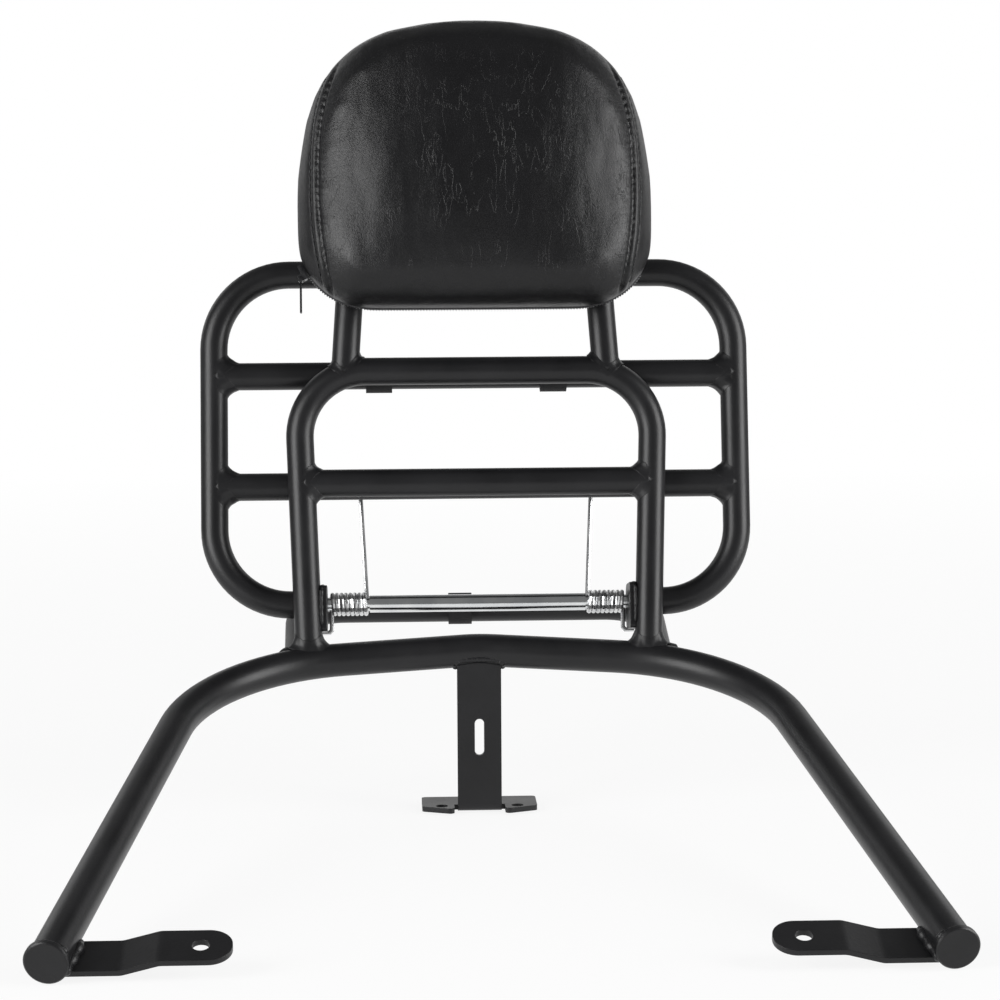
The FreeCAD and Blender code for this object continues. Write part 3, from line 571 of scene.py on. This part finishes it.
def wrinkled(mesh):
    """Long shallow folds, mostly upright, over the front panel."""
    spots = corners(mesh)
    local = to_hoop(spots)
    front = faded(local[:, 2] - FOLD_FRONT, FOLD_FADE)
    fold = np.array([
        noise.fractal(Vector(spot), FOLD_FALLOFF, FOLD_FINER, FOLD_LAYERS) for spot in local / FOLD_SIZE
    ])
    put_corners(mesh, spots + directions(mesh) * (fold * front * FOLD_DEPTH * MM)[:, None])
    return mesh


def make_pad():
    mesh = settled(
        merged("pad_form", "pad_cushion", "pad_board"),
        "pad_form",
        ("REMESH", {"mode": "VOXEL", "voxel_size": PAD_VOXEL}),
        ("SMOOTH", {"factor": 0.5, "iterations": PAD_SMOOTHING}),
    )
    local = to_hoop(corners(mesh))
    local[:, :2] = PAD_CENTRE + (local[:, :2] - PAD_CENTRE) * PAD_START
    put_corners(mesh, from_hoop(local))
    mesh = blown_up(mesh)
    mesh = rim_rounded(crowned(mesh))
    mesh = settled(mesh, "pad_form", ("SUBSURF", {"levels": 2, "render_levels": 2}))
    mesh = wrinkled(sewn(mesh))
    obj = placed("backrest_pad", mesh, LEATHER, "frame")
    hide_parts("pad_cushion", "pad_board")
    return obj


pad = make_pad()
pad_skin = BVHTree.FromPolygons(
    [v.co.copy() for v in pad.data.vertices], [tuple(f.vertices) for f in pad.data.polygons]
)

# Stitches beside the seams
CAPSULE_SIDES = 6
CAPSULE_END = 0.03
STITCH_LOW = 207.0
STITCH_HIGH = 336.0
STITCH_REACH = 0.8
STITCH_LENGTH = 0.0027
STITCH_RADIUS = 0.00036
STITCH_LIFT = 0.55
BEFORE_PAD = 120.0


def capsule(bm, centre, along, length, radius, rings=5):
    """A small rounded thread end to end, added to a mesh."""
    along = along.normalized()
    across = along.orthogonal().normalized()
    other = along.cross(across)
    loops = []
    for i in range(rings + 1):
        share = i / rings
        reach = (share - 0.5) * length
        girth = radius * math.sqrt(max(CAPSULE_END, 1.0 - (2.0 * share - 1.0) ** 4))
        loops.append([
            bm.verts.new(centre + along * reach + (across * math.cos(a) + other * math.sin(a)) * girth)
            for a in (2 * math.pi * k / CAPSULE_SIDES for k in range(CAPSULE_SIDES))
        ])
    banded(bm, loops)
    bm.faces.new(list(reversed(loops[0])))
    bm.faces.new(loops[-1])


def make_stitches():
    bm = bmesh.new()
    count = int((STITCH_HIGH - STITCH_LOW) / STITCH_PITCH)
    for _, sign in SIDES:
        for k in range(count + 1):
            v = STITCH_LOW + k * STITCH_PITCH
            ends = []
            for at in (v - STITCH_REACH, v + STITCH_REACH):
                u = sign * (float(seam_half(at)) + TOPSTITCH)
                found = pad_skin.ray_cast(hoop_point(u, at, BEFORE_PAD), -FORWARD)
                if found[0] is not None:
                    ends.append(found)
            if len(ends) == 2:
                along = ends[1][0] - ends[0][0]
                centre = (ends[0][0] + ends[1][0]) / 2 + ends[0][1] * STITCH_RADIUS * STITCH_LIFT
                capsule(bm, centre, along, STITCH_LENGTH, STITCH_RADIUS)
    placed("pad_stitches", finished(bm, "pad_stitches"), THREAD, "frame")


make_stitches()

# Welds: an uneven hollow fillet round the line where a branch tube meets another tube
MAIN_R = 9.5
TUBE_R = 8.0
WELD_STEPS = 56
WELD_CURVE = 8
WELD_BURY = 0.5
WELD_PROUD = 0.02
WELD_FULLNESS = 0.55
WELD_DRAG = 0.25
WELD_ROOT = 2.0
WELD_LUMP_SIZE = 3.2
WELD_LUMP_DEPTH = 0.42
WELD_UNEVEN = 0.22
WELD_UNEVEN_RATE = 3.0
WELD_UNEVEN_SHIFT = 17.0
WELD_CREASE = math.radians(50.0)
BEAD_SIDES = 12
BEAD_END = 0.04
BEAD_LUMP_SIZE = 3.4


def lumps(p, size, depth):
    return depth * noise.noise(Vector(p) / size)


def weld_row(joint, branch, along, around, main_r, leg, reach):
    """One cut across the fillet, from the branch's skin to the main tube's, in millimetres."""
    flat_branch = branch - along * branch.dot(along)
    flat_around = around - along * around.dot(along)
    square = flat_branch.dot(flat_branch)
    middle = TUBE_R * flat_branch.dot(flat_around)
    rest = TUBE_R ** 2 * flat_around.dot(flat_around) - main_r ** 2
    rise = (math.sqrt(max(0.0, middle ** 2 - square * rest)) - middle) / square
    corner = branch * rise + around * TUBE_R
    outward = (corner - along * corner.dot(along)).normalized()
    away = around - outward * around.dot(outward) - branch * WELD_DRAG
    away -= outward * away.dot(outward)
    on_main = corner + away.normalized() * reach
    main_axis = along * on_main.dot(along)
    main_out = (on_main - main_axis).normalized()
    on_main = main_axis + main_out * (main_r + WELD_PROUD)
    on_branch = branch * (rise + leg) + around * (TUBE_R + WELD_PROUD)
    halfway = (on_branch + on_main) / 2
    pull = corner + (halfway - corner) * WELD_FULLNESS
    open_way = (around + outward).normalized()
    row = []
    for k in range(WELD_CURVE + 1):
        t = k / WELD_CURVE
        spot = on_branch * (1 - t) ** 2 + pull * (2 * t * (1 - t)) + on_main * t ** 2
        spot += open_way * lumps(joint + spot, WELD_LUMP_SIZE, WELD_LUMP_DEPTH) * math.sin(math.pi * t)
        row.append(spot)
    row.append(main_axis + main_out * (main_r - WELD_BURY))
    row.append(corner - open_way * WELD_ROOT)
    row.append(branch * (rise + leg) + around * (TUBE_R - WELD_BURY))
    return row


def weld(name, body, joint, branch, along, main_r, leg, reach):
    """A closed ring of weld; the joint is where both axes cross, in metres."""
    branch = branch.normalized()
    along = along.normalized()
    first = (along - branch * along.dot(branch)).normalized()
    second = branch.cross(first)
    base = joint / MM
    bm = bmesh.new()
    rows = []
    for k in range(WELD_STEPS):
        angle = 2 * math.pi * k / WELD_STEPS
        around = first * math.cos(angle) + second * math.sin(angle)
        turn = Vector((math.cos(angle), math.sin(angle), 0.0)) * WELD_UNEVEN_RATE
        turn.z = base.x / WELD_UNEVEN_SHIFT
        uneven = 1.0 + WELD_UNEVEN * noise.noise(turn)
        row = weld_row(base, branch, along, around, main_r, leg * uneven, reach * uneven)
        rows.append([bm.verts.new((base + spot) * MM) for spot in row])
    banded(bm, rows + rows[:1])
    bmesh.ops.recalc_face_normals(bm, faces=bm.faces[:])
    placed(name, finished(bm, name), COAT, body, WELD_CREASE)


def bead(name, line, radius, steps, pitch, wave, rough):
    """A run of weld on the frame along a polyline, with ripples of a pitch and lumps in millimetres."""
    spots = [Vector(p) for p in line]
    spans = [(q - p).length for p, q in zip(spots, spots[1:])]
    total = sum(spans)
    bm = bmesh.new()
    rows = []
    for k in range(steps + 1):
        left = total * k / steps
        i = 0
        while i < len(spans) - 1 and left > spans[i]:
            left -= spans[i]
            i += 1
        way = (spots[i + 1] - spots[i]).normalized()
        centre = spots[i] + way * left
        across = way.orthogonal().normalized()
        other = way.cross(across)
        end = math.sqrt(max(BEAD_END, 1.0 - abs(2.0 * k / steps - 1.0) ** 6))
        scale = 1.0 + wave * math.sin(2 * math.pi * total * k / steps / pitch)
        row = []
        for m in range(BEAD_SIDES):
            angle = 2 * math.pi * m / BEAD_SIDES
            out = across * math.cos(angle) + other * math.sin(angle)
            girth = radius * end * scale + lumps((centre + out * radius) / MM, BEAD_LUMP_SIZE, rough) * MM
            row.append(bm.verts.new(centre + out * girth))
        rows.append(row)
    banded(bm, rows)
    bm.faces.new(rows[0])
    bm.faces.new(rows[-1])
    bmesh.ops.recalc_face_normals(bm, faces=bm.faces[:])
    placed(name, finished(bm, name), COAT, "frame")


# Tube joints, each with the weld's leg on the branch and its reach on the other tube
CROSSBAR_WELD = (4.6, 4.0)
FOOT_WELD = (6.4, 3.8)
POST_WELD = (3.0, 2.6)
CARRIER_WELD = (6.4, 4.8)
SUPPORT_WELD = (5.4, 4.2)
FOOT_HALF = 97.5
TOP_HALF = 103.6
HOOP_TOP = 168.0
POST_HALF = 76.0
POST_LEAN = math.radians(3.9)
POST_FALL = math.radians(13.7)
POST_DROP = 2.3
CARRIER_BACK = -18.5
CARRIER_HALF = 152.6
LOWER_BAR = 103.0
UPPER_BAR = 168.0
SUPPORT_HALF = 104.0
SUPPORT_WAY = Vector((0.021, 0.987, 0.159))
MAIN_TILT = math.radians(13.5)
MAIN_SHOULDER_HALF = 155.7
MAIN_SHOULDER_DEPTH = 23.8
MAIN_SLOPE = MAIN_SHOULDER_DEPTH / MAIN_SHOULDER_HALF
REAR_HEIGHT = 94.0


def main_point(x, y, z):
    """A point given in millimetres in the main tube's tilted plane."""
    back = y * math.cos(MAIN_TILT) - z * math.sin(MAIN_TILT)
    up = y * math.sin(MAIN_TILT) + z * math.cos(MAIN_TILT)
    return Vector((x, back, up + REAR_HEIGHT)) * MM


def main_direction(sign):
    """The way that the main tube runs at the rear, on one side of the middle."""
    slope = -sign * MAIN_SLOPE
    return Vector((1.0, slope * math.cos(MAIN_TILT), slope * math.sin(MAIN_TILT)))


def upright_half(v):
    return FOOT_HALF + (TOP_HALF - FOOT_HALF) * v / HOOP_TOP


for side, sign in SIDES:
    inward = X_AXIS * -sign
    upright = X_AXIS * (sign * (TOP_HALF - FOOT_HALF)) + UP * HOOP_TOP
    crossbar_end = hoop_point(sign * upright_half(LOWER_BAR), LOWER_BAR, 0.0)
    weld(side + "_crossbar_weld", "frame", crossbar_end, inward, upright, TUBE_R, *CROSSBAR_WELD)
    foot = hoop_point(sign * FOOT_HALF, 0.0, 0.0)
    weld(side + "_foot_weld", "frame", foot, upright, main_direction(sign), MAIN_R, *FOOT_WELD)
    post_foot = hoop_point(sign * POST_HALF, HOOP_TOP - POST_DROP, 0.0)
    post_way = UP * math.cos(POST_LEAN) - X_AXIS * (sign * math.sin(POST_LEAN))
    shoulder = X_AXIS * math.cos(POST_FALL) - UP * (sign * math.sin(POST_FALL))
    weld(side + "_post_weld", "frame", post_foot, post_way, shoulder, TUBE_R, *POST_WELD)
    for bar, height in (("lower", LOWER_BAR), ("upper", UPPER_BAR)):
        bar_end = hoop_point(sign * CARRIER_HALF, height, CARRIER_BACK)
        weld("%s_%s_carrier_weld" % (side, bar), "carrier", bar_end, inward, UP, TUBE_R, *CARRIER_WELD)
    support_end = main_point(sign * SUPPORT_HALF, -MAIN_SLOPE * SUPPORT_HALF, 0.0)
    back = Vector((sign * SUPPORT_WAY.x, SUPPORT_WAY.y, SUPPORT_WAY.z))
    weld(side + "_support_weld", "frame", support_end, back, main_direction(sign), MAIN_R, *SUPPORT_WELD)

# Smaller runs of weld: lugs, tabs, caps and strap
LUG_BEAD = {"radius": 0.0014, "steps": 40, "pitch": 0.0042, "wave": 0.10, "rough": 0.22}
TAB_BEAD = {"radius": 0.0030, "steps": 56, "pitch": 0.0090, "wave": 0.16, "rough": 0.22}
CAP_BEAD = {"radius": 0.0009, "steps": 96, "pitch": 0.0030, "wave": 0.08, "rough": 0.15}
STRAP_BEAD = {"radius": 0.0015, "steps": 64, "pitch": 0.0030, "wave": 0.10, "rough": 0.20}
TACK = {"radius": 0.0020, "steps": 24, "pitch": 0.0060, "wave": 0.06, "rough": 0.15}
LUG_LINE = (
    (89.4, 43.0, -8.0),
    (90.0, 43.4, 0.0),
    (90.6, 41.5, 3.0),
    (90.8, 31.0, 3.2),
    (90.4, 20.6, 3.0),
)
STRAP_SIDE = ((13.6, -4.5, 84.4), (13.6, -7.6, 87.2), (11.5, -8.9, 89.6))
STRAP_MIDDLE = (0.0, -9.0, 89.9)
END_HALF = 212.0
MAIN_DEPTH = 358.0
TAB_WIDTH = 24.0
TAB_DROP = 5.0
TAB_TILT = math.radians(6.5)
TAB_OVERRUN = 1.0
TAB_POINTS = 6
TAB_BEAD_OUT = 0.7
CAP_POINTS = 32
CAP_BEHIND = 0.5


def end_frame(sign):
    """The main tube's end point, the way of its arm to the rear and the way across it."""
    end = Vector((sign * END_HALF, -MAIN_DEPTH, 0.0))
    shoulder = Vector((sign * MAIN_SHOULDER_HALF, -MAIN_SHOULDER_DEPTH, 0.0))
    along = (shoulder - end).normalized()
    return end, along, Vector((-sign * along.y, sign * along.x, 0.0))


def tab_line(sign):
    """Where the mounting tab meets the main tube."""
    end, along, across = end_frame(sign)
    line = []
    for k in range(TAB_POINTS + 1):
        y = -TAB_OVERRUN + (TAB_WIDTH + 2 * TAB_OVERRUN) * k / TAB_POINTS
        height = (y - TAB_WIDTH / 2) * math.tan(TAB_TILT) - TAB_DROP
        out = math.sqrt(MAIN_R ** 2 - height ** 2) + TAB_BEAD_OUT
        lift = Vector((0.0, 0.0, height + TAB_BEAD_OUT))
        line.append(main_point(*(end + along * (y / along.y) + across * out + lift)))
    return line


def cap_line(sign):
    """Round the main tube just behind its end cap."""
    end, along, across = end_frame(sign)
    line = []
    for k in range(CAP_POINTS + 1):
        angle = 2 * math.pi * k / CAP_POINTS
        lift = Vector((0.0, 0.0, MAIN_R * math.sin(angle)))
        line.append(main_point(*(end + along * CAP_BEHIND + across * (MAIN_R * math.cos(angle)) + lift)))
    return line


for side, sign in SIDES:
    bead(side + "_lug_bead", [hoop_point(sign * u, v, n) for u, v, n in LUG_LINE], **LUG_BEAD)
    bead(side + "_tab_bead", tab_line(sign), **TAB_BEAD)
    rim = cap_line(sign)
    bead(side + "_cap_bead", rim, **CAP_BEAD)
    bead(side + "_cap_tack", rim[2:6], **TACK)

strap_line = [Vector((-x, y, z)) * MM for x, y, z in STRAP_SIDE]
strap_line.append(Vector(STRAP_MIDDLE) * MM)
strap_line += [Vector(spot) * MM for spot in reversed(STRAP_SIDE)]
bead("strap_bead", strap_line, **STRAP_BEAD)
bead("left_strap_tack", strap_line[:3], **TACK)
bead("right_strap_tack", strap_line[-3:], **TACK)

# Zip round the cover's lower rear edge: a tape with a row of teeth
ZIP_DEPTH = 18.5
ZIP_BEND = 42.0
ZIP_CENTRE = (61.3, 242.5)
ZIP_ANGLE = 33.0
TOOTH_PITCH = 1.7
TOOTH_LENGTH = 0.0042
TOOTH_RADIUS = 0.0005
TOOTH_LIFT = 0.0002
TAPE_HALF = 5.0
TAPE_BURY = -0.5
TAPE_EDGE = 0.12
TAPE_MIDDLE = 0.2
TAPE_CUT = (
    (-TAPE_HALF, TAPE_BURY),
    (-TAPE_HALF, TAPE_EDGE),
    (0.0, TAPE_MIDDLE),
    (TAPE_HALF, TAPE_EDGE),
    (TAPE_HALF, TAPE_BURY),
)
OUTSIDE_PAD = 0.09


def zip_route(step):
    """Points and outward directions along the zip, in the hoop's plane."""
    half, level = ZIP_CENTRE
    start = math.radians(180.0 + ZIP_ANGLE)
    sweep = math.radians(90.0 - ZIP_ANGLE)
    arc = ZIP_BEND * sweep
    flat = 2 * half
    count = int((2 * arc + flat) / step)
    for k in range(count + 1):
        s = k * step
        if s < arc:
            angle = start + s / ZIP_BEND
            yield -half, level, math.cos(angle), math.sin(angle)
        elif s < arc + flat:
            yield -half + s - arc, level, 0.0, -1.0
        else:
            angle = math.radians(270.0) + (s - arc - flat) / ZIP_BEND
            yield half, level, math.cos(angle), math.sin(angle)


def on_pad(u, v, out, n):
    """Where a line from outside towards a point meets the pad."""
    return pad_skin.ray_cast(hoop_point(u, v, n) + out * OUTSIDE_PAD, -out)[0]


def make_zip():
    teeth = bmesh.new()
    tape = bmesh.new()
    rows = []
    for u, v, out_u, out_v in zip_route(TOOTH_PITCH):
        out = X_AXIS * out_u + UP * out_v
        spot = on_pad(u, v, out, ZIP_DEPTH)
        capsule(teeth, spot + out * TOOTH_LIFT, FORWARD, TOOTH_LENGTH, TOOTH_RADIUS, rings=4)
        rows.append([
            tape.verts.new(on_pad(u, v, out, ZIP_DEPTH + n) + out * (lift * MM)) for n, lift in TAPE_CUT
        ])
    banded(tape, rows)
    tape.faces.new(rows[0])
    tape.faces.new(rows[-1])
    bmesh.ops.recalc_face_normals(tape, faces=tape.faces[:])
    placed("zip_teeth", finished(teeth, "zip_teeth"), NICKEL, "frame")
    placed("zip_tape", finished(tape, "zip_tape"), THREAD, "frame")


make_zip()

# Camera in front of the rack, a little to the left and about level with the pad
CAMERA_SPOT = Vector((-0.0545, -1.6714, 0.3809))
YAW = math.radians(2.3109)
PITCH = math.radians(6.8004)
ROLL = math.radians(-0.3035)
LENS = 105.04
SENSOR = 36.0
CLIP_START = 0.05
CLIP_END = 50.0


def make_camera():
    look = Vector((math.sin(YAW) * math.cos(PITCH), math.cos(YAW) * math.cos(PITCH), -math.sin(PITCH)))
    level = Vector((math.cos(YAW), -math.sin(YAW), 0.0))
    above = level.cross(look)
    right_hand = level * math.cos(ROLL) + above * math.sin(ROLL)
    over_head = above * math.cos(ROLL) - level * math.sin(ROLL)
    camera = bpy.data.objects.new("camera", bpy.data.cameras.new("camera"))
    camera.data.lens = LENS
    camera.data.sensor_width = SENSOR
    camera.data.clip_start = CLIP_START
    camera.data.clip_end = CLIP_END
    turn = Matrix((right_hand, over_head, -look)).transposed()
    camera.matrix_world = Matrix.Translation(CAMERA_SPOT) @ turn.to_4x4()
    scene.collection.objects.link(camera)
    scene.camera = camera


make_camera()

# Floor that sweeps up to a backdrop
FLOOR_DROP = 0.0004
FLOOR_FRONT = -2.6
FLOOR_REAR = 2.2
FLOOR_HALF = 1.5
FLOOR_COLOUR = (0.88, 0.88, 0.88, 1.0)
FLOOR_ROUGH = 0.9
SWEEP_ROUND = 1.4
SWEEP_STEPS = 24
SWEEP_TOP = 1.9
SWEEP_LEFT = -0.85
SWEEP_RIGHT = 1.15
NARROW_STEP = 0.01
WHITE_FROM = 0.2
WHITE_TO = 1.8
WHITE_LEAST = 0.88


def sweep_sides(y):
    """The floor narrows behind the object to a backdrop a little wider than the picture."""
    if y < FLOOR_REAR - SWEEP_ROUND:
        return -FLOOR_HALF, FLOOR_HALF
    return SWEEP_LEFT, SWEEP_RIGHT


def floor_mesh():
    floor_z = cad_low.z - FLOOR_DROP
    profile = [(FLOOR_FRONT, floor_z), (FLOOR_REAR - SWEEP_ROUND - NARROW_STEP, floor_z)]
    for k in range(SWEEP_STEPS + 1):
        angle = math.radians(90.0 * k / SWEEP_STEPS)
        back = FLOOR_REAR + SWEEP_ROUND * math.sin(angle)
        profile.append((back, floor_z + SWEEP_ROUND * (1.0 - math.cos(angle))))
    profile.append((FLOOR_REAR + SWEEP_ROUND, SWEEP_TOP))
    mesh = bpy.data.meshes.new("floor")
    mesh.from_pydata(
        [(x, y, z) for y, z in profile for x in sweep_sides(y)],
        [],
        [(2 * k, 2 * k + 1, 2 * k + 3, 2 * k + 2) for k in range(len(profile) - 1)],
    )
    smoothed(mesh)
    return mesh


def floor_white(s):
    """The share of plain white that the camera, gloss and glass see, more towards the rear."""
    path = s.nodes.new("ShaderNodeLightPath").outputs
    seen = path["Is Camera Ray"]
    for ray in ("Is Glossy Ray", "Is Transmission Ray"):
        seen = s.math("MAXIMUM", seen, path[ray])
    depth = s.nodes.new("ShaderNodeSeparateXYZ")
    s.join(s.place, depth.inputs["Vector"])
    return s.math("MULTIPLY", seen, s.span(depth.outputs["Y"], WHITE_FROM, WHITE_TO, WHITE_LEAST, 1.0))


def floor_look():
    s = Shader("floor")
    s.set(Base_Color=FLOOR_COLOUR, Roughness=FLOOR_ROUGH, Specular_IOR_Level=0.0)
    glow = s.nodes.new("ShaderNodeEmission")
    mix = s.nodes.new("ShaderNodeMixShader")
    s.join(floor_white(s), mix.inputs["Fac"])
    s.join(s.surface.outputs["BSDF"], mix.inputs[1])
    s.join(glow.outputs["Emission"], mix.inputs[2])
    s.join(mix.outputs["Shader"], s.nodes["Material Output"].inputs["Surface"])
    return s.material


floor = bpy.data.objects.new("floor", floor_mesh())
scene.collection.objects.link(floor)
wear(floor, floor_look())

# World and lamps
WORLD_FILL = 0.20
AIM = Vector((0.0, -0.02, 0.22))
SOFTBOXES = (
    ("left_box", (-1.45, -1.0, 0.60), 1.1, 1.3, 34.0),
    ("right_box", (1.58, -0.68, 0.60), 1.0, 1.3, 32.0),
    ("rear_left_box", (-1.5, 1.7, 1.0), 1.4, 1.4, 5.0),
    ("rear_right_box", (1.5, 1.7, 1.0), 1.4, 1.4, 5.0),
)

world = bpy.data.worlds.new("world")
scene.world = world
world.use_nodes = True
sky = world.node_tree.nodes["Background"]
sky.inputs["Color"].default_value = (1.0, 1.0, 1.0, 1.0)
sky.inputs["Strength"].default_value = WORLD_FILL


def softbox(name, spot, width, height, watts):
    lamp = bpy.data.lights.new(name, "AREA")
    lamp.shape = "RECTANGLE"
    lamp.size = width
    lamp.size_y = height
    lamp.energy = watts
    holder = bpy.data.objects.new(name, lamp)
    holder.location = spot
    holder.rotation_mode = "QUATERNION"
    holder.rotation_quaternion = (AIM - Vector(spot)).to_track_quat("-Z", "Y")
    scene.collection.objects.link(holder)


for box in SOFTBOXES:
    softbox(*box)

scene.view_settings.view_transform = "Standard"
